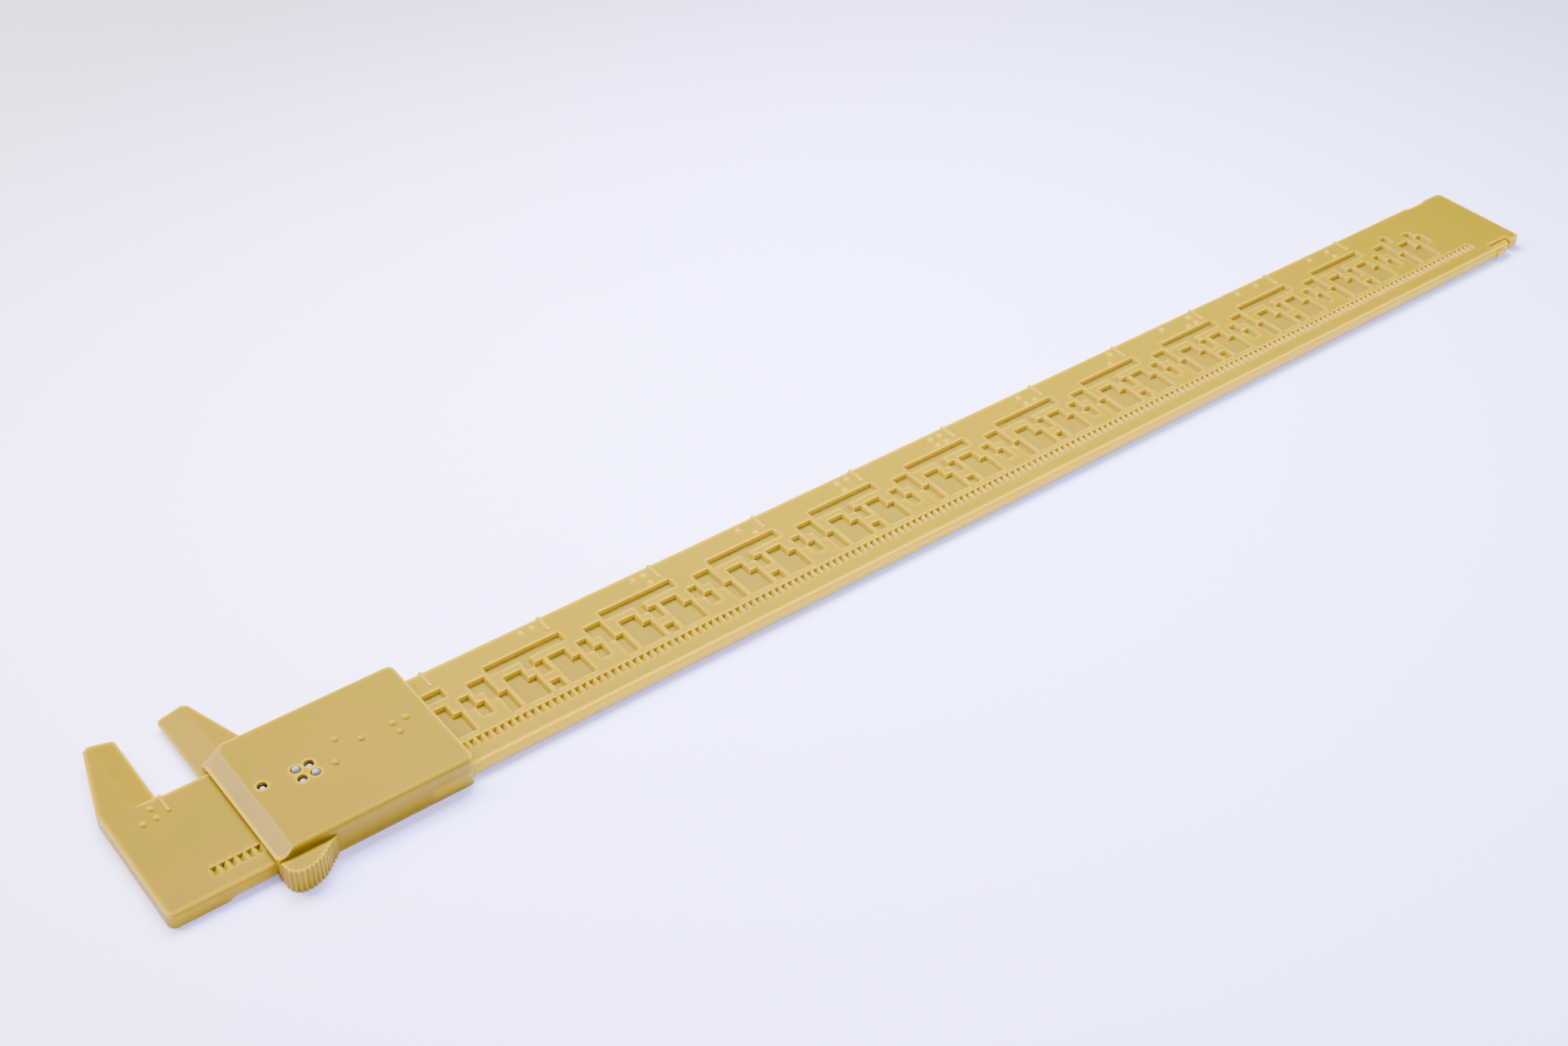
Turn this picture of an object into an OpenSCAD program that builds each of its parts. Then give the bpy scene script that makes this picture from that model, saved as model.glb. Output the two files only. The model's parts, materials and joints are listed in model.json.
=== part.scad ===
// Tactile caliper rule with a braille read-out.
// A flat beam with a fixed jaw carries a sliding box with a moving jaw. Five braille pins in the
// slider follow five rows of recesses in the beam and spell out the sixteenths of an inch.
// X runs along the beam, Y points toward the jaws, Z is up from the table.
// Origin: middle of the head's flat underside, on the beam's centre line.

/* [Scale] */
// One inch of the scale
inch = 25.4;
// Whole inches on the beam
inches = 12; // [1:1:12]
// Reading shown, in sixteenths of an inch
reading = 5; // [0:1:192]
// Zero tick, right of the origin
zero_x = 4.8; // [4:0.1:8]

/* [Beam] */
// Beam width
beam_w = 25.4; // [20:0.2:40]
// Head thickness, and the height of the beam's top face
top_z = 3.2; // [2.8:0.1:5]
// Raised underside of the beam, where the slider's base passes
relief_z = 0.75; // [0.6:0.05:1.2]
// Head, left of the zero tick
head_left = 10.3; // [8:0.1:14]
// Beam length to the right of the zero tick
beam_right = 344.7; // [340:0.1:360]
// Radius along the thumb-side top edge
edge_r = 0.9; // [0.3:0.1:1.2]
// Reach of the jaws beyond the beam
jaw_reach = 18.3; // [10:0.1:30]
// Height of the flat land on each measuring edge
jaw_land = 0.7; // [0.4:0.1:2]
// Corner radius at the tip of each measuring edge
tip_r = 0.6; // [0.2:0.1:1]

/* [Braille] */
// Spacing of dots inside a cell
dot_pitch = 2.5; // [2.2:0.1:2.8]
// Spacing of cells
cell_pitch = 6.3; // [5.6:0.1:7]
// Base radius of a raised dot
dot_r = 0.78; // [0.6:0.02:0.9]
// Height of a raised dot
dot_h = 0.5; // [0.3:0.05:0.8]

/* [Code tracks] */
// Depth of the recesses that let a pin drop
code_depth = 0.95; // [0.6:0.05:1.2]
// Slope at the ends of a recess, along the beam
code_ramp = 0.48; // [0.2:0.02:0.7]
// Slope at the sides of a recess
code_draft = 0.3; // [0.1:0.05:0.5]
// Click notch, along the beam
notch_w = 1.34; // [1:0.02:1.5]
// Click notch, across the beam
notch_l = 2; // [1.5:0.1:2.6]
// Click notch depth
notch_d = 0.8; // [0.4:0.05:1]

/* [Slider] */
// Front of the slider at reading 5, from the zero tick
slider_x0 = 8.9; // [8.8:0.1:11]
// Back of the slider at reading 5, from the zero tick
slider_x1 = 46.4; // [44:0.1:50]
// Jaw side of the slider
slider_y1 = 15; // [14:0.1:18]
// Thumb side of the slider
slider_y0 = -13.9; // [-15:0.1:-13.8]
// Top of the slider
slider_z = 6.2; // [6:0.1:8]
// Height of the upright part of the front face
face_z = 4.2; // [4:0.1:6]
// Where the front bevel meets the top
bevel_x = 11.85; // [9:0.05:14]
// Clearance height under the front and back lips, over dots and ticks
lip_z = 3.9; // [3.8:0.05:4]
// Top of the thumb grip
grip_z = 5; // [4:0.1:6]
// Roof over the pins
roof_t = 0.8; // [0.6:0.05:1.2]
// Running clearance around the beam
run_gap = 0.05; // [0.02:0.01:0.1]

/* [Pins] */
// Pin radius
pin_r = 0.7; // [0.6:0.02:0.8]
// Rise of a pin between down and up
pin_stroke = 0.95; // [0.6:0.05:1]
// Pin top above the slider when up
pin_proud = 0.55; // [0.4:0.05:0.8]
// Gap around a pin in its hole through the roof
hole_gap = 0.25; // [0.05:0.01:0.3]
// Gap around a pin's foot in the guide plate
foot_gap = 0.08; // [0.03:0.01:0.1]
// Thickness of a pin's arm
arm_t = 0.6; // [0.4:0.05:0.8]

/* [Hidden] */
$fn = 48;
half_w = beam_w / 2;
step = inch / 16;
full_scale = inches * 16;
body = "#d6b35c";
white = "#eeeef2";
steel = "#b9bcc2";
knife_x = -0.2;
tick_r = 0.45;
bevel_drop = (top_z - jaw_land) / 2;
tip_y = half_w + jaw_reach;
home = 5;
travel = (reading - home) * step;
moving_x = knife_x + home * step;
roof_z = slider_z - roof_t;
guide_z = top_z + run_gap;
guide_t = 0.35;
arm_down_z = guide_z + guide_t + 0.05;

// Code tracks: [centre of the land strip, low edge, high edge], counted from the jaw side
track_tens = [6.3, 4.7, 7.35];
track_1 = [3.8, 1.9, 5.35];
track_4 = [1, -0.85, 2.95];
track_5 = [-1.95, -3.6, 0.05];
track_2 = [-4.5, -5.7, -2.95];

// Feet of the pins at a reading of zero, from the zero tick
foot_tens = 11.03;
foot_left = 17.4;
foot_right = 20.6;

// Braille numerals: dots of the digits 0 to 9
digits = [[2, 4, 5], [1], [1, 2], [1, 4], [1, 4, 5], [1, 5], [1, 2, 4], [1, 2, 4, 5], [1, 2, 5], [2, 4]];

// Rows of the read-out on the slider's top
row_mid = 1.8;
row_low = row_mid - dot_pitch;
row_high = row_mid + dot_pitch;
cell_x = 14.1;

function raised(dot, digit) = len([for (d = digits[digit]) if (d == dot) d]) > 0;
function sixteenth(n) = n % 16;
function is_up(dot, n) = dot == 0 ? sixteenth(n) >= 10 : raised(dot, sixteenth(n) % 10);
function is_down(dot, n) = n >= 0 && n <= full_scale && !is_up(dot, n);
function run_end(dot, n) = is_down(dot, n + 1) ? run_end(dot, n + 1) : n;

// Quarter-round cutter for an edge that runs along X, with the material toward +Y and -Z
module edge_cut(len, r) {
    rotate([90, 0, 90])
    linear_extrude(len)
    difference() {
        translate([-1, -r]) square([1 + r, r + 1]);
        translate([r, -r]) circle(r);
    }
}

// Plan cutter for a vertical corner whose material lies toward +X and +Y
module corner_cut(r, h) {
    linear_extrude(h)
    difference() {
        translate([-1, -1]) square(1 + r);
        translate([r, r]) circle(r);
    }
}

// One raised braille dot on a face at z = 0
module dome() {
    r = (dot_r * dot_r + dot_h * dot_h) / (2 * dot_h);
    intersection() {
        translate([0, 0, dot_h - r]) sphere(r);
        translate([-2, -2, -0.1]) cube([4, 4, 2]);
    }
}

// One braille digit, with the top left dot of its cell at the origin
module braille_digit(d) {
    for (dot = digits[d])
        translate([dot > 3 ? dot_pitch : 0, -dot_pitch * ((dot - 1) % 3), 0]) dome();
}

// Raised numeral left of a tick
module label(n) {
    if (n >= 10) {
        translate([-cell_pitch, 0, 0]) braille_digit(1);
    }
    braille_digit(n % 10);
}

// Raised inch tick: a round ridge across the scale edge
module tick() {
    translate([0, half_w + 0.15, top_z - 0.05]) rotate([90, 0, 0]) cylinder(r = tick_r, h = 3.9);
    translate([0, half_w - 3.75, top_z - 0.05]) sphere(tick_r);
}

// Recesses of one track, sloped at their ends
module track_runs(dot, x0) {
    for (n = [0 : full_scale])
        if (is_down(dot, n) && !is_down(dot, n - 1)) {
            a = x0 + (n - 0.5) * step;
            b = x0 + (run_end(dot, n) + 0.5) * step;
            e = code_ramp - 0.1;
            k = 0.5 / code_depth * code_ramp;
            polygon([[a + 0.1, -code_depth], [b - 0.1, -code_depth], [b + e + k, 0.5], [a - e - k, 0.5]]);
        }
}

// One code track: the run profile crossed with the track's own tapered groove
module track(dot, x0, t) {
    k = 0.5 / code_depth * code_draft;
    translate([0, 0, top_z])
    intersection() {
        translate([0, 12, 0]) rotate([90, 0, 0]) linear_extrude(24) track_runs(dot, x0);
        rotate([90, 0, 90]) linear_extrude(beam_right)
        polygon([[t[1] + code_draft, -code_depth], [t[2] - code_draft, -code_depth],
            [t[2] + k, 0.5], [t[1] - k, 0.5]]);
    }
}

// Row of click notches, one at every sixteenth: upright at the jaw side, sloped at the thumb side
module notches() {
    last = 208;
    teeth = [for (k = [0 : last]) each [
        [0.25 + k * step - notch_w / 2, 0],
        [0.25 + k * step, -notch_d],
        [0.25 + k * step + notch_w / 2, 0]]];
    y0 = -8;
    translate([0, 0, top_z])
    intersection() {
        rotate([90, 0, 0]) linear_extrude(16)
        polygon(concat([[-1, 0.5], [-1, 0]], teeth, [[last * step + 2, 0], [last * step + 2, 0.5]]));
        translate([-1, 0, 0]) rotate([90, 0, 90]) linear_extrude(last * step + 4)
        polygon([[y0 - notch_l / 2, 0], [y0 - notch_l / 2 + 0.5, -notch_d - 0.1],
            [y0 + notch_l / 2 - 0.06, -notch_d - 0.1], [y0 + notch_l / 2, 0]]);
    }
}

// Bevels above and below a measuring edge, leaving the flat land between them
module jaw_bevels(ridge, edge, y0, y1) {
    out = edge + 2 * sign(edge - ridge);
    for (m = [0, 1])
        translate([0, y1, m * top_z])
        mirror([0, 0, 1 - m])
        rotate([90, 0, 0])
        linear_extrude(y1 - y0)
        polygon([[ridge, 0], [edge, -bevel_drop], [out, -bevel_drop], [out, 0.5], [ridge, 0.5]]);
}

// Slit that frees the lug at the far end with the set-back corner beside it, and the relief opposite
module lug_slit() {
    translate([0, 0, -1]) linear_extrude(top_z + 2) {
        polygon([[334.5, -10.2], [341.3, -10.2], [341.6, -11.9], [346, -11.9], [346, -13.7],
            [338.8, -13.7], [340.2, -11], [334.5, -11]]);
        polygon([[332, half_w + 1], [332, half_w - 0.4], [337.2, half_w - 0.45],
            [339.2, half_w + 0.1], [339.2, half_w + 1]]);
    }
}

// Catch on the lug: the slider's groove stops against it at the full reading
module lug_catch() {
    translate([0, 0, relief_z + 0.2])
    linear_extrude(top_z - relief_z - 0.8)
    polygon([[334.9, -half_w + 0.2], [335.1, -half_w - 0.5], [337.2, -half_w - 0.5], [338.3, -half_w + 0.2]]);
}

// Beam with the fixed jaw, scale, code tracks, click notches and end lug
module beam() {
    total = head_left + beam_right;
    color(body) translate([zero_x, 0, 0]) {
        difference() {
            union() {
                translate([-head_left, -half_w, 0]) cube([total, beam_w, top_z]);
                linear_extrude(top_z)
                polygon([[-head_left, half_w - 1], [-head_left, half_w + 2.5], [-6.1, tip_y - 0.7],
                    [-5.1, tip_y], [knife_x, tip_y], [knife_x, half_w - 1]]);
                lug_catch();
            }
            translate([0, half_w + 1, 0]) rotate([90, 0, 0]) linear_extrude(beam_w + 2)
            polygon([[0.2, -1], [0.2, 0], [1.1, relief_z], [beam_right + 1, relief_z], [beam_right + 1, -1]]);
            translate([-head_left - 1, -half_w, top_z]) edge_cut(total + 2, edge_r);
            translate([-head_left, -half_w, -1]) corner_cut(1.5, top_z + 2);
            translate([beam_right, half_w, -1]) rotate([0, 0, 180]) corner_cut(1.5, top_z + 2);
            translate([beam_right, -half_w, -1]) rotate([0, 0, 90]) corner_cut(2.5, top_z + 2);
            jaw_bevels(-4.5, knife_x, half_w + 0.3, tip_y + 1);
            translate([knife_x, tip_y, -1]) rotate([0, 0, 180]) corner_cut(tip_r, top_z + 2);
            lug_slit();
            track(0, foot_tens, track_tens);
            track(1, foot_left, track_1);
            track(2, foot_left, track_2);
            track(4, foot_right, track_4);
            track(5, foot_right, track_5);
            notches();
        }
        for (k = [0 : inches]) {
            translate([k * inch, 0, 0]) tick();
            translate([k * inch - 2.4 - dot_pitch, half_w - 1.75, top_z]) label(k);
        }
    }
}

// Where each pin stands: [hole, foot, dot]
left_x = cell_x + cell_pitch;
right_x = left_x + dot_pitch;
feet_x = home * step;
pin_0 = [[cell_x, row_mid], [foot_tens + feet_x, track_tens[0]], 0];
pin_1 = [[left_x, row_mid], [foot_left + feet_x, track_1[0]], 1];
pin_2 = [[left_x, row_low], [foot_left + feet_x, track_2[0]], 2];
pin_4 = [[right_x, row_mid], [foot_right + feet_x, track_4[0]], 4];
pin_5 = [[right_x, row_low], [foot_right + feet_x, track_5[0]], 5];
pins = [pin_0, pin_1, pin_2, pin_4, pin_5];
posts = [[14.6, -4.6], [30.6, -4.9], [30.6, 6.1], [22.9, 6.3]];
foot_r = 0.65;
arm_w = 1.1;
detent_y = -8;
detent_x = 0.25 + 21 * step;

// Height of a pin's arm: it stands on a land or has dropped into a recess
function arm_z(p) = arm_down_z + (is_up(p[2], reading) ? pin_stroke : 0);

// Point on the thumb grip's plan outline: front arc, long arc, straight side
function front_arc(a) = [11.5 - 2.55 * cos(a), -15.8 - 2.55 * sin(a)];
function long_arc(a) = [11.5 + 7.7 * sin(a), -10.65 - 7.7 * cos(a)];
function grip_side(d) = long_arc(40) + d * [cos(40), sin(40)];

// Thumb grip in plan
module grip_outline() {
    arcs = concat([for (a = [0 : 10 : 90]) front_arc(a)], [for (a = [4 : 4 : 40]) long_arc(a)]);
    polygon(concat([[8.95, -13]], arcs, [grip_side(4.4), [19.8, -13]]));
}

// Upright flutes around the thumb grip
module grip_flutes() {
    spots = concat(
        [for (k = [0 : 1]) [8.95, -14.2 - 0.9 * k]],
        [for (k = [0 : 3]) front_arc(11 + 20.7 * k)],
        [for (k = [0 : 5]) long_arc(1.5 + 6.85 * k)],
        [for (k = [0 : 2]) grip_side(0.4 + 0.92 * k)]);
    for (p = spots)
        translate([p[0], p[1], -1]) cylinder(r = 0.26, h = 8);
}

// Shallow trough between the thumb grip and the slider's side
module grip_trough() {
    difference() {
        translate([8, slider_y0 - 0.2, grip_z + 1.5]) rotate([0, 90, 0]) cylinder(r = 2, h = 14);
        translate([7, slider_y0, 0]) cube([16, 4, 12]);
    }
}

// Facet on the slider's front corner at the jaw side
module front_facet() {
    a = [slider_x0, slider_y1 - 1.6, face_z];
    b = [bevel_x, slider_y1 - 1.6, slider_z];
    c = [bevel_x + 1.25, slider_y1, slider_z];
    n = cross(b - a, c - a);
    translate(a)
    rotate([0, acos(n[2] / norm(n)), atan2(n[1], n[0])])
    translate([-6, -6, 0])
    cube([12, 12, 6]);
}

// Hollows inside the slider: beam channel, scale relief, pin chamber and lug groove
module slider_hollow() {
    len = slider_x1 - slider_x0 + 4;
    w = beam_w + 2 * run_gap;
    translate([slider_x0 - 2, -w / 2, -1]) cube([len, w, guide_z + 1]);
    translate([slider_x0 - 2, 7.5, 1.6]) cube([len, half_w + 0.35 - 7.5, lip_z - 1.6]);
    for (x = [slider_x0 - 2, slider_x1 - 0.6])
        translate([x, -w / 2, 1.6]) cube([4, w, lip_z - 1.6]);
    translate([12.9, -10.6, top_z]) cube([32.3, 18.1, roof_z - top_z]);
    translate([37.94, -half_w - 0.65, relief_z]) cube([12, 1.2, 2.35]);
    for (s = [-1, 1])
        translate([13.9, s * (half_w + 0.25) - 0.25, 0.15]) cube([27.8, 0.5, 0.4]);
}

// Outer block of the slider with its front bevel, corner facet and rounded edges
module slider_block() {
    len = slider_x1 - slider_x0;
    difference() {
        translate([slider_x0, slider_y0, 0]) cube([len, slider_y1 - slider_y0, slider_z]);
        translate([0, slider_y1 + 1, 0]) rotate([90, 0, 0]) linear_extrude(slider_y1 + 2 - slider_y0)
        polygon([[slider_x0 - 2, face_z - 1.356], [slider_x0, face_z], [bevel_x, slider_z],
            [bevel_x, slider_z + 1], [slider_x0 - 2, slider_z + 1]]);
        front_facet();
        translate([slider_x0 - 1, slider_y0, slider_z]) edge_cut(len + 2, edge_r);
        translate([slider_x1, slider_y0, -1]) rotate([0, 0, 90]) corner_cut(1.3, slider_z + 2);
        translate([slider_x1, slider_y1, -1]) rotate([0, 0, 180]) corner_cut(1.3, slider_z + 2);
    }
}

// Moving jaw, tapering to a measuring edge with bevels above and below
module moving_jaw() {
    difference() {
        linear_extrude(top_z)
        polygon([[moving_x, half_w + 0.1], [moving_x, tip_y], [12.5, tip_y], [13.6, tip_y - 0.8],
            [18.4, slider_y1], [18.4, half_w + 0.1]]);
        jaw_bevels(12.9, moving_x, half_w, tip_y + 1);
        translate([moving_x, tip_y, -1]) rotate([0, 0, -90]) corner_cut(tip_r, top_z + 2);
    }
}

// Slider moulding with the moving jaw, thumb grip, pin holes and raised dots
module slider_shell() {
    color(body) translate([zero_x + travel, 0, 0]) {
        difference() {
            union() {
                slider_block();
                moving_jaw();
                linear_extrude(grip_z) grip_outline();
            }
            slider_hollow();
            grip_flutes();
            grip_trough();
            for (p = pins)
                translate([p[0][0], p[0][1], roof_z - 1]) cylinder(r = pin_r + hole_gap, h = roof_t + 2);
        }
        for (p = posts)
            translate([p[0], p[1], 0]) {
                translate([0, 0, guide_z + guide_t]) cylinder(r = 1.1, h = roof_z - guide_z - guide_t + 0.1);
                translate([0, 0, guide_z]) cylinder(r = 0.6, h = guide_t + 0.1);
            }
        translate([43, detent_y, 0]) {
            translate([0, 0, 5]) cylinder(r = 0.45, h = 0.5);
            translate([0, 0, 4.85]) cylinder(r = 0.8, h = 0.23);
        }
        translate([0, row_high, slider_z]) {
            translate([cell_x + 2 * cell_pitch + dot_pitch, 0, 0]) dome();
            translate([cell_x + 2 * cell_pitch, -2 * dot_pitch, 0]) dome();
            translate([cell_x + 3 * cell_pitch, -dot_pitch, 0]) braille_digit(1);
            translate([cell_x + 4 * cell_pitch, -dot_pitch, 0]) braille_digit(6);
        }
    }
}

// Plate that closes the slider under the beam, held by a tongue in each side wall
module slider_base() {
    w = beam_w + 2 * run_gap - 0.02;
    color(body) translate([zero_x + travel, 0, 0]) {
        translate([slider_x0 + 0.6, -w / 2, 0])
        cube([slider_x1 - slider_x0 - 0.6, w, relief_z - run_gap]);
        translate([14, -w / 2 - 0.4, 0.2]) cube([27.6, w + 0.8, 0.3]);
    }
}

// Plate under the pins' arms, with a hole for each foot
module pin_guide() {
    color(white) translate([zero_x + travel, 0, guide_z])
    linear_extrude(guide_t)
    difference() {
        translate([13.1, -6.4]) square([18.9, 13.7]);
        for (p = pins)
            translate(p[1]) circle(foot_r + foot_gap);
        for (p = posts)
            translate(p) circle(0.63);
    }
}

// One braille pin: round-topped post, cranked arm and the foot that follows its code track
module pin(p) {
    h = p[0];
    f = p[1];
    cap = 0.62;
    cap_r = (pin_r * pin_r + cap * cap) / (2 * cap);
    body_h = slider_z + pin_proud - cap - arm_down_z - pin_stroke;
    color(white) translate([zero_x + travel, 0, arm_z(p)]) {
        translate([h[0], h[1], 0]) {
            cylinder(r = pin_r, h = body_h);
            intersection() {
                translate([0, 0, body_h + cap - cap_r]) sphere(cap_r);
                cylinder(r = pin_r, h = body_h + cap + 1);
            }
        }
        translate([h[0] - arm_w / 2, min(h[1], f[1]) - arm_w / 2, 0])
        cube([arm_w, abs(h[1] - f[1]) + arm_w, arm_t]);
        translate([h[0], f[1] - arm_w / 2, 0]) cube([f[0] - h[0], arm_w, arm_t]);
        translate([f[0], f[1], -0.38]) cylinder(r = foot_r, h = arm_t + 0.38);
    }
}

// Leaf spring between the roof and a pin's arm: bowed when the pin is down, pressed flat when up
module pin_spring(p, x) {
    t = 0.12;
    span = 3.6;
    rise = roof_z - arm_z(p) - arm_t - 0.04;
    r = (span * span / 4 + rise * rise) / (2 * rise);
    color(steel) translate([zero_x + travel + x, p[1][1] + 0.45, roof_z - 0.02]) {
        if (is_up(p[2], reading))
            translate([-span / 2, -0.9, -t]) cube([span, 0.9, t]);
        else
            translate([0, 0, -r]) rotate([90, 0, 0]) linear_extrude(0.9)
            intersection() {
                difference() {
                    circle(r);
                    circle(r - t);
                }
                translate([-span, r - rise]) square([2 * span, rise + 1]);
            }
    }
}

// Leaf with a nose that clicks from notch to notch
module detent_spring() {
    t = 0.22;
    color(steel) translate([zero_x + travel, 0, 0]) {
        difference() {
            translate([0, detent_y + 0.8, 0]) rotate([90, 0, 0]) linear_extrude(1.6)
            polygon([[44.4, 5.13], [41.2, 5.13], [detent_x + 0.5, 3.5], [detent_x - 0.6, 3.5],
                [detent_x - 2.2, 4.3], [detent_x - 2.2, 4.3 + t], [detent_x - 0.5, 3.5 + t],
                [detent_x + 0.4, 3.5 + t], [41.1, 5.13 + t], [44.4, 5.13 + t]]);
            translate([43, detent_y, 4]) cylinder(r = 0.5, h = 2);
        }
        translate([detent_x, detent_y + 0.5, 0]) rotate([90, 0, 0]) linear_extrude(1)
        polygon([[-0.1, 2.72], [0.1, 2.72], [0.5, 3.3], [0.5, 3.6], [-0.5, 3.6], [-0.5, 3.3]]);
    }
}

module pin_tens() pin(pin_0);
module pin_dot_1() pin(pin_1);
module pin_dot_2() pin(pin_2);
module pin_dot_4() pin(pin_4);
module pin_dot_5() pin(pin_5);
module pin_spring_tens() pin_spring(pin_0, 16.7);
module pin_spring_1() pin_spring(pin_1, 23);
module pin_spring_2() pin_spring(pin_2, 23);
module pin_spring_4() pin_spring(pin_4, 25.8);
module pin_spring_5() pin_spring(pin_5, 25.8);

beam();
slider_shell();
slider_base();
pin_guide();
pin_tens();
pin_dot_1();
pin_dot_2();
pin_dot_4();
pin_dot_5();
pin_spring_tens();
pin_spring_1();
pin_spring_2();
pin_spring_4();
pin_spring_5();
detent_spring();
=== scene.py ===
"""Looks of a tactile braille caliper rule: moulded yellow plastic, white pins, soft studio light."""

import json
import math

import bpy
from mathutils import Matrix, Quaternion, Vector

MM = 0.001

# Places on the beam, in its own frame
RECESS_Z = 2.25 * MM         # floor of the code recesses
CODE_HALF_W = 12.0 * MM      # half the width that the recesses keep to
HEAD_END_X = 12.0 * MM       # where the thick head starts to give way to the thinner beam
BEAM_START_X = 48.0 * MM     # where the thinner beam is fully reached

# Moulding
EDGE_R = 0.22 * MM           # radius on every sharp edge of the yellow parts
PIN_EDGE_R = 0.1 * MM        # the same on the pins
THIN_PLAIN = 0.7 * MM        # depth that counts as thin on the slider, for the painted glow
THIN_CODED = 1.0 * MM        # and on the beam

# Colours, linear
YELLOW = (0.186, 0.136, 0.0010)
YELLOW_WARM = (0.212, 0.136, 0.0010)
# painted light: a lighter yellow for the painted glow on thin parts and for the lighter beam past the
# head
YELLOW_PAINTED_BRIGHT = (0.430, 0.290, 0.0015)
# painted light: a glow painted on faces that look to the thumb side
YELLOW_PAINTED_GLOW = (0.700, 0.460, 0.002)
YELLOW_DIRT = (0.11, 0.08, 0.02)
# recess floors: partly their own greyer tint, partly painted shade
YELLOW_RECESS_GREY_AND_SHADE = (0.182, 0.128, 0.007)
WHITE_PIN = (0.25, 0.26, 0.27)
WHITE_PIN_GREY = (0.20, 0.20, 0.21)
STEEL = (0.55, 0.56, 0.58)
STEEL_DARK = (0.42, 0.42, 0.44)
PAPER = (0.80, 0.80, 0.98)
PAPER_DULL = (0.77, 0.77, 0.96)
PAPER_LIFT = (0.62, 0.58, 1.0, 1.0)
SKY = (0.70, 0.58, 1.0, 1.0)
LAMP_COOL = (0.50, 0.515, 1.0)
LAMP_WARM = (1.0, 0.84, 0.68)

# Table top
TABLE_HALF = 40.0
TABLE_Z = -0.02 * MM         # a hair under the rule, so that no two faces coincide

# Light
LIT_POINT = (0.18, -0.03, 0.0)
SKY_STRENGTH = 0.14

# Camera
CAMERA_AT = Vector((-66.29, -239.59, 264.49)) * MM
CAMERA_AIM = Vector((138.80, 11.07, -0.60)) * MM
CAMERA_ROLL = math.radians(1.86)
SENSOR = 36.0
LENS = 47.43


class Nodes:
    """Small helper for building one material's node tree."""

    def __init__(self, name):
        self.material = bpy.data.materials.new(name)
        self.material.use_nodes = True
        self.tree = self.material.node_tree
        self.shader = self.tree.nodes["Principled BSDF"]

    def feed(self, socket, value):
        """Links an output into the socket, or sets a plain value on it."""
        if hasattr(value, "links"):
            self.tree.links.new(value, socket)
        else:
            socket.default_value = value

    def add(self, kind, **inputs):
        node = self.tree.nodes.new(kind)
        for key, value in inputs.items():
            self.feed(node.inputs[key], value)
        return node

    def link(self, out, name):
        self.tree.links.new(out, self.shader.inputs[name])

    def set(self, **inputs):
        for key, value in inputs.items():
            self.shader.inputs[key.replace("_", " ")].default_value = value

    def position(self):
        return self.tree.nodes.new("ShaderNodeTexCoord").outputs["Object"]

    def noise(self, scale, detail=3.0, rough=0.55):
        node = self.add("ShaderNodeTexNoise", Vector=self.position(), Scale=scale, Detail=detail,
                        Roughness=rough)
        return node.outputs["Fac"]

    def ramp(self, fac, low, high, a=0.0, b=1.0):
        node = self.add("ShaderNodeMapRange", Value=fac)
        for key, value in (("From Min", low), ("From Max", high), ("To Min", a), ("To Max", b)):
            node.inputs[key].default_value = value
        return node.outputs["Result"]

    def mix(self, fac, a, b):
        node = self.tree.nodes.new("ShaderNodeMix")
        node.data_type = "RGBA"
        for socket, value in ((node.inputs[0], fac), (node.inputs[6], a), (node.inputs[7], b)):
            self.feed(socket, (*value, 1.0) if isinstance(value, tuple) else value)
        return node.outputs[2]

    def multiply(self, a, b):
        node = self.tree.nodes.new("ShaderNodeMath")
        node.operation = "MULTIPLY"
        for socket, value in zip(node.inputs, (a, b)):
            self.feed(socket, value)
        return node.outputs[0]

    def rounded(self, radius):
        """Normals turned as if every edge had a small moulded radius."""
        node = self.add("ShaderNodeBevel", Radius=radius)
        node.samples = 6
        return node.outputs["Normal"]

    def bump(self, height, distance, strength, normal=None):
        node = self.add("ShaderNodeBump", Height=height, Distance=distance, Strength=strength)
        if normal is not None:
            self.feed(node.inputs["Normal"], normal)
        return node.outputs["Normal"]


def past_head(n):
    """0 on the thick head, 1 on the thinner beam beyond the slider."""
    split = n.add("ShaderNodeSeparateXYZ", Vector=n.position())
    return n.ramp(split.outputs["X"], HEAD_END_X, BEAM_START_X)


def recess_mask(n):
    """1 on the floors of the beam's recesses, 0 on its faces and sides."""
    split = n.add("ShaderNodeSeparateXYZ", Vector=n.position())
    above = n.ramp(split.outputs["Z"], RECESS_Z - 0.25 * MM, RECESS_Z - 0.15 * MM)
    below = n.ramp(split.outputs["Z"], RECESS_Z + 0.45 * MM, RECESS_Z + 0.10 * MM)
    inside = n.multiply(n.ramp(split.outputs["Y"], -CODE_HALF_W, 0.2 * MM - CODE_HALF_W),
                        n.ramp(split.outputs["Y"], CODE_HALF_W, CODE_HALF_W - 0.2 * MM))
    return n.multiply(inside, n.multiply(above, below))


def painted_thin_glow_mask(n, depth):
    """1 where the plastic is thin: along edges and in raised dots and ticks, which get a painted glow.
    """
    node = n.add("ShaderNodeAmbientOcclusion", Distance=depth)
    node.inside = True
    node.only_local = True
    node.samples = 8
    return n.ramp(node.outputs["AO"], 1.0, 0.55)


def painted_glow_mask(n, edge):
    """1 on faces that look to the thumb side, which get a painted glow in place of light from the jaw
    side coming through.
    """
    split = n.add("ShaderNodeSeparateXYZ", Vector=n.rounded(edge))
    return n.ramp(split.outputs["Y"], -0.05, -0.50)


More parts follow.
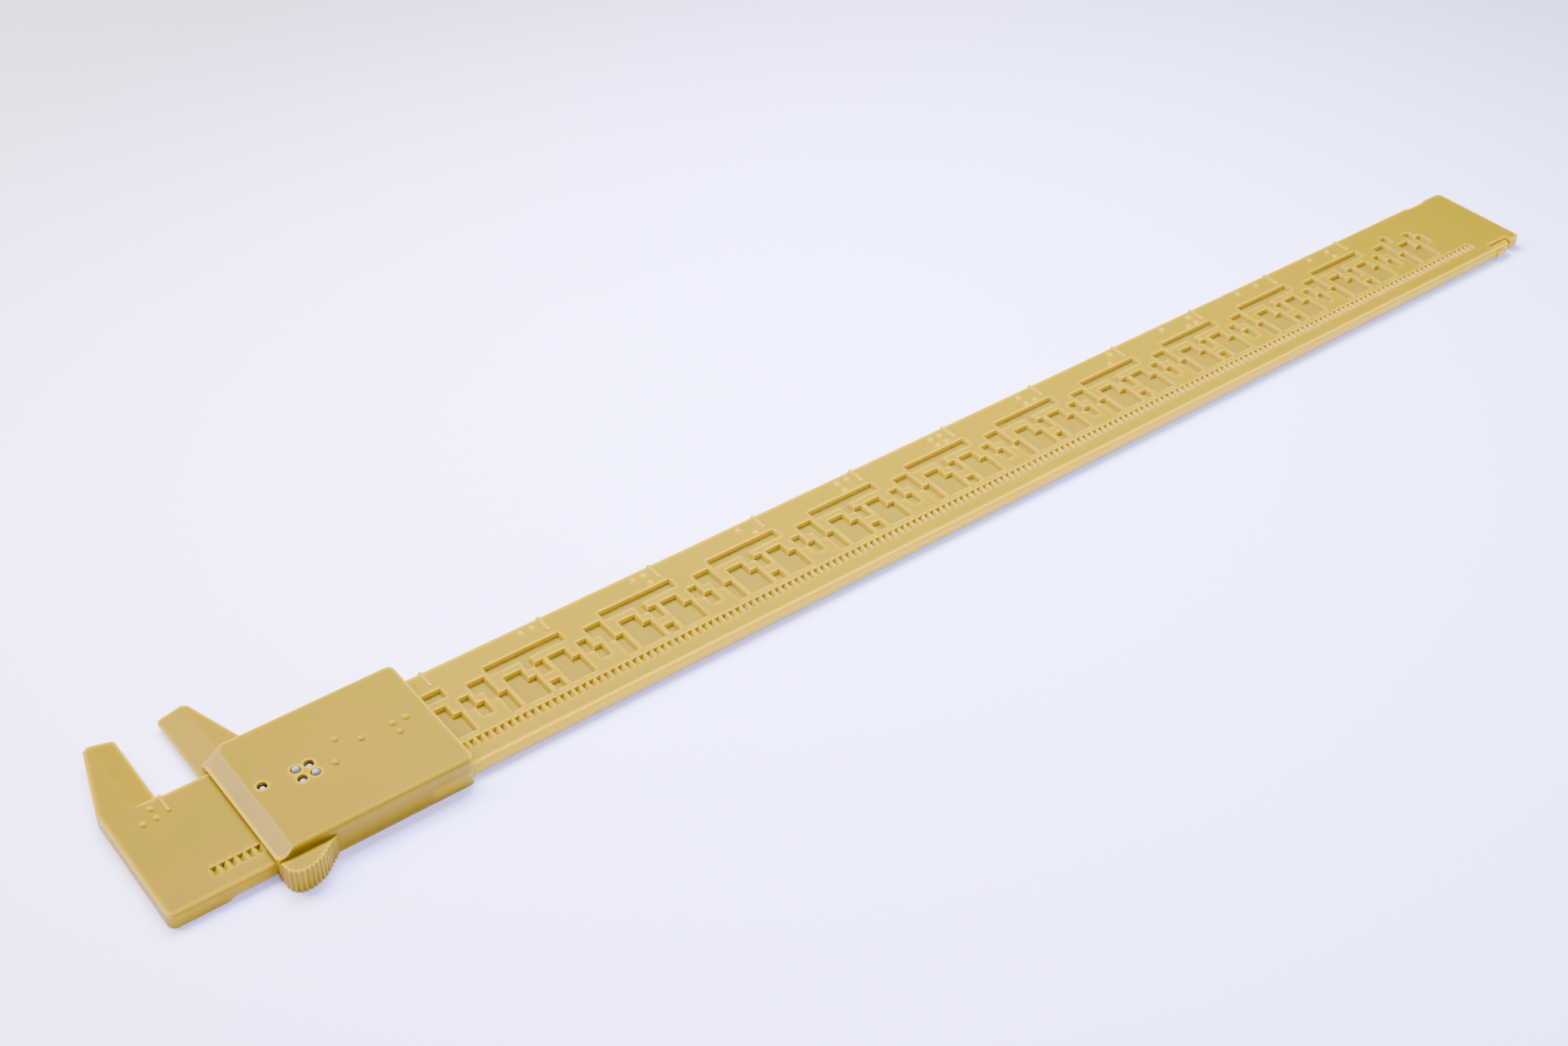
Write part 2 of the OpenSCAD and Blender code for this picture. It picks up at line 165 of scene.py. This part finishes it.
def moulded_plastic(name, edge, recessed, painted_glow_weight, thin):
    """Slightly translucent yellow plastic with mould texture and small scuffs; thin parts and
    thumb-side faces carry a painted glow, the beam past the head is painted a little lighter, and the
    recess floors are painted darker and greyer, partly painted shade and partly their own greyer tint.
    """
    n = Nodes(name)
    cloud = n.noise(45.0)
    speck = n.ramp(n.noise(900.0, 2.0), 0.70, 0.74)
    colour = n.mix(n.ramp(cloud, 0.35, 0.65), YELLOW, YELLOW_WARM)
    # painted glow on thin edges, dots and ticks, in place of light coming through the plastic
    colour = n.mix(n.multiply(painted_thin_glow_mask(n, thin), 0.85), colour, YELLOW_PAINTED_BRIGHT)
    if recessed:
        # the painted glow is weaker on the thick head
        painted_glow_weight = n.ramp(past_head(n), 0.0, 1.0, 0.4 * painted_glow_weight, painted_glow_weight)
    # painted glow on faces that look to the thumb side
    colour = n.mix(n.multiply(painted_glow_mask(n, 2 * edge), painted_glow_weight), colour, YELLOW_PAINTED_GLOW)
    colour = n.mix(n.multiply(speck, 0.35), colour, YELLOW_DIRT)
    rough = n.ramp(n.noise(160.0, 4.0), 0.3, 0.7, 0.31, 0.39)
    if recessed:
        # painted light: the beam past the head is painted a little lighter
        colour = n.mix(n.multiply(past_head(n), 0.10), colour, YELLOW_PAINTED_BRIGHT)
        # recess floors painted darker and greyer in patches: partly painted shade, partly their own
        # greyer tint
        mask = recess_mask(n)
        recess_patches = n.ramp(n.noise(700.0, 5.0, 0.75), 0.45, 0.70, 0.7, 1.0)
        colour = n.mix(n.multiply(mask, recess_patches), colour, YELLOW_RECESS_GREY_AND_SHADE)
        rough = n.mix(mask, rough, (0.55, 0.55, 0.55))
    n.link(colour, "Base Color")
    n.link(rough, "Roughness")
    fine = n.bump(n.noise(5200.0, 2.0), 0.02 * MM, 0.35, n.rounded(edge))
    n.link(n.bump(cloud, 0.25 * MM, 0.10, fine), "Normal")
    n.set(Subsurface_Weight=0.4, Subsurface_Radius=(0.8, 0.5, 0.1), Subsurface_Scale=MM,
          IOR=1.45, Specular_IOR_Level=0.08, Coat_Weight=0.12, Coat_Roughness=0.22)
    return n.material


def white_plastic(name):
    """Slightly mottled white plastic of the pins and the guide plate."""
    n = Nodes(name)
    grain = n.noise(1400.0)
    n.link(n.mix(n.ramp(grain, 0.55, 0.75, 0.0, 0.25), WHITE_PIN, WHITE_PIN_GREY), "Base Color")
    n.link(n.ramp(n.noise(600.0), 0.3, 0.7, 0.32, 0.48), "Roughness")
    n.link(n.bump(grain, 0.02 * MM, 0.25, n.rounded(PIN_EDGE_R)), "Normal")
    n.set(Subsurface_Weight=0.15, Subsurface_Radius=(0.6, 0.6, 0.6), Subsurface_Scale=MM)
    return n.material


def spring_steel(name):
    """Dull rolled steel of the leaf springs."""
    n = Nodes(name)
    grain = n.noise(2500.0, 5.0)
    n.link(n.mix(grain, STEEL, STEEL_DARK), "Base Color")
    n.link(n.ramp(grain, 0.3, 0.7, 0.22, 0.40), "Roughness")
    n.link(n.bump(grain, 0.01 * MM, 0.3), "Normal")
    n.set(Metallic=1.0)
    return n.material


def paper(name):
    """Pale matt table top with a faint grain, lifted a little so that its far part stays pale."""
    n = Nodes(name)
    fibre = n.noise(1200.0, 6.0, 0.7)
    n.link(n.mix(n.ramp(n.noise(6.0), 0.3, 0.7, 0.0, 0.25), PAPER, PAPER_DULL), "Base Color")
    n.link(n.bump(fibre, 0.05 * MM, 0.15), "Normal")
    n.set(Roughness=0.85, Specular_IOR_Level=0.2, Emission_Color=PAPER_LIFT, Emission_Strength=0.55)
    return n.material


def dress(frame):
    """Gives every CAD node its material."""
    # the slider's plastic gets a weaker painted glow (0.25) than the beam's (1.0)
    looks = {"body": moulded_plastic("yellow_plain", EDGE_R, False, 0.25, THIN_PLAIN),
             "pins": white_plastic("white_pin"), "steel": spring_steel("spring_steel")}
    yellow_coded = moulded_plastic("yellow_coded", EDGE_R, True, 1.0, THIN_CODED)
    for part in frame["record"]["subparts"]:
        node = frame["nodes"][part["node"]]
        look = yellow_coded if part["node"] == "beam" else looks[part["material_slot"]]
        node.data.materials.clear()
        node.data.materials.append(look)


def table():
    """Pale table top under the rule."""
    mesh = bpy.data.meshes.new("table")
    s = TABLE_HALF
    z = TABLE_Z
    mesh.from_pydata([(-s, -s, z), (s, -s, z), (s, s, z), (-s, s, z)], [], [(0, 1, 2, 3)])
    floor = bpy.data.objects.new("table", mesh)
    mesh.materials.append(paper("paper"))
    bpy.context.scene.collection.objects.link(floor)


def softbox(name, at, aim, size, power, colour, spread=math.pi, mirrored=False):
    """Rectangular area light at `at`, facing `aim`; only a mirrored one shows in reflections."""
    data = bpy.data.lights.new(name, "AREA")
    data.shape = "RECTANGLE"
    data.size, data.size_y = size
    data.energy = power
    data.color = colour
    data.spread = spread
    lamp = bpy.data.objects.new(name, data)
    lamp.location = at
    lamp.rotation_euler = (Vector(aim) - Vector(at)).to_track_quat("-Z", "Y").to_euler()
    lamp.visible_glossy = mirrored
    bpy.context.scene.collection.objects.link(lamp)


def light():
    """Three cool boxes that light the table, a warm one that the bevels mirror, and a dim room."""
    softbox("back_box", (0.18, 0.17, 0.33), LIT_POINT, (0.34, 0.20), 5.0, LAMP_COOL,
            spread=math.radians(95.0))
    softbox("front_box", (0.25, -0.28, 0.38), LIT_POINT, (0.40, 0.28), 1.4, LAMP_COOL,
            spread=math.radians(110.0))
    softbox("right_box", (0.52, -0.10, 0.36), LIT_POINT, (0.35, 0.35), 1.0, LAMP_COOL)
    softbox("sheen_box", (-0.24, 0.40, 0.42), LIT_POINT, (0.30, 0.40), 13.0, LAMP_WARM,
            mirrored=True)
    world = bpy.data.worlds.new("room")
    world.use_nodes = True
    sky = world.node_tree.nodes["Background"]
    sky.inputs["Color"].default_value = SKY
    sky.inputs["Strength"].default_value = SKY_STRENGTH
    world.cycles_visibility.glossy = False
    bpy.context.scene.world = world


def camera():
    """Camera above the front left corner, looking along the beam with a slight roll."""
    data = bpy.data.cameras.new("camera")
    data.sensor_width = SENSOR
    data.lens = LENS
    data.clip_start = 0.01
    eye = bpy.data.objects.new("camera", data)
    eye.location = CAMERA_AT
    turn = (CAMERA_AIM - CAMERA_AT).to_track_quat("-Z", "Y")
    eye.rotation_mode = "QUATERNION"
    eye.rotation_quaternion = turn @ Quaternion((0, 0, 1), CAMERA_ROLL)
    bpy.context.scene.collection.objects.link(eye)
    bpy.context.scene.camera = eye


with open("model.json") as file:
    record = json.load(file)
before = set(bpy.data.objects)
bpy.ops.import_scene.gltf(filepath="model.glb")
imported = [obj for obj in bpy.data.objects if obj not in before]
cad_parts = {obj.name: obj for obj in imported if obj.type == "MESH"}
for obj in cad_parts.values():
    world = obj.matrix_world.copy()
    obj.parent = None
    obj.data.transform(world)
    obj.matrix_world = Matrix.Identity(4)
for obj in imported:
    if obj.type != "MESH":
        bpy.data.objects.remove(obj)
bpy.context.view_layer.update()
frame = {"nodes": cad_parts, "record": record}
dress(frame)
table()
light()
camera()
